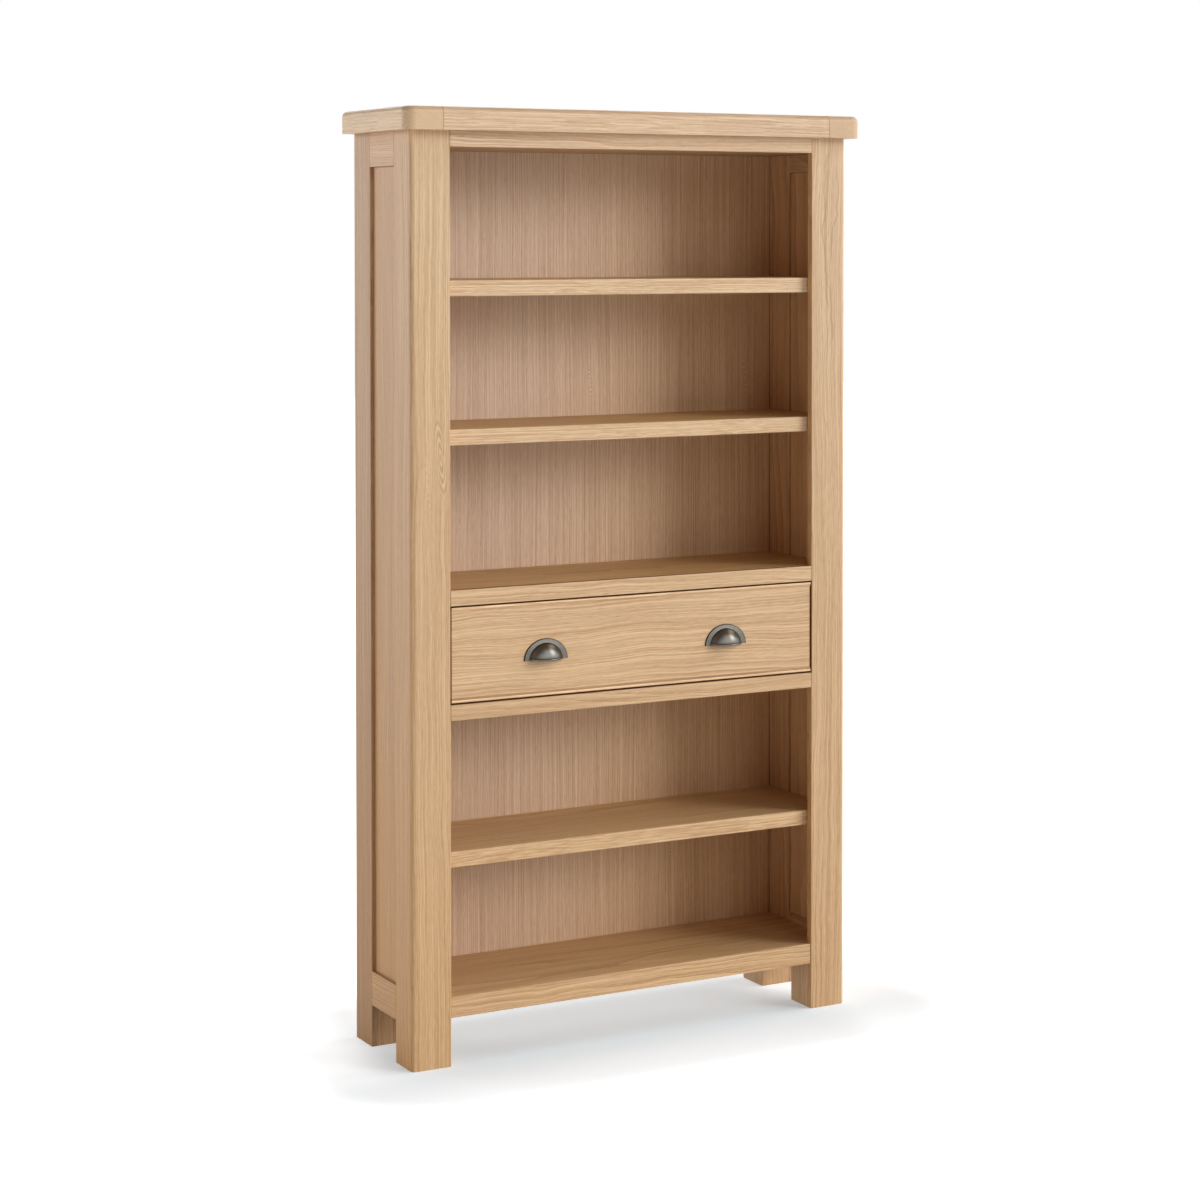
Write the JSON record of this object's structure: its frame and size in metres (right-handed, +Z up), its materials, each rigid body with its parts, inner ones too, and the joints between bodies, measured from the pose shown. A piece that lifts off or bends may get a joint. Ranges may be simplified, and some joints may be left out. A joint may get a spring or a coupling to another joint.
{
  "type": "bookcase",
  "caption": "Tall oak bookcase with framed side panels, an overhanging top, open shelves and a wide drawer with cup pulls at mid height.",
  "frame": {"origin": "on the floor, under the middle of the whole bookcase", "axes": "+Z up, along the height; +X to the viewer's right; +Y from the front to the back"},
  "size_m": [1, 0.3, 1.8],
  "materials": {
    "oak": "matt lacquered natural oak",
    "oak_veneer": "matt lacquered oak veneer on board",
    "drawer_wood": "plain sanded hardwood",
    "pewter": "antique pewter patina",
    "screw_steel": "zinc plated"
  },
  "bodies": {
    "carcass": {"back_panel": "oak_veneer", "back_panel_screws": "screw_steel", "base_board": "oak", "base_front_rail": "oak", "board_dowels": "drawer_wood", "ceiling_board": "oak", "drawer_cover_board": "oak", "drawer_floor_board": "oak", "drawer_guide_left": "drawer_wood", "drawer_guide_right": "drawer_wood", "drawer_kicker_left": "drawer_wood", "drawer_kicker_right": "drawer_wood", "drawer_lower_rail": "oak", "drawer_stops": "drawer_wood", "drawer_upper_rail": "oak", "front_foot_block_left": "oak", "front_foot_block_right": "oak", "front_side_stile_left": "oak", "front_side_stile_right": "oak", "front_stile_left": "oak", "front_stile_right": "oak", "lower_shelf": "oak", "middle_shelf": "oak", "rear_foot_block_left": "oak", "rear_foot_block_right": "oak", "rear_side_stile_left": "oak", "rear_side_stile_right": "oak", "shelf_dowels": "drawer_wood", "side_bottom_rail_left": "oak", "side_bottom_rail_right": "oak", "side_panel_left": "oak_veneer", "side_panel_right": "oak_veneer", "side_top_rail_left": "oak", "side_top_rail_right": "oak", "top_breadboard_left": "oak", "top_breadboard_right": "oak", "top_centre_board": "oak", "top_front_rail": "oak", "top_screws": "screw_steel", "upper_shelf": "oak"},
    "drawer": {"cup_pull_left": "pewter", "cup_pull_right": "pewter", "cup_pull_screws": "screw_steel", "drawer_back": "drawer_wood", "drawer_bottom": "drawer_wood", "drawer_bottom_screws": "screw_steel", "drawer_front": "oak", "drawer_side_left": "drawer_wood", "drawer_side_right": "drawer_wood"}
  },
  "joints": [
    {"name": "drawer_slide", "type": "slide", "parent": "carcass", "child": "drawer", "axis": [0, -1, 0], "range_m": [0, 0.18]}
  ]
}
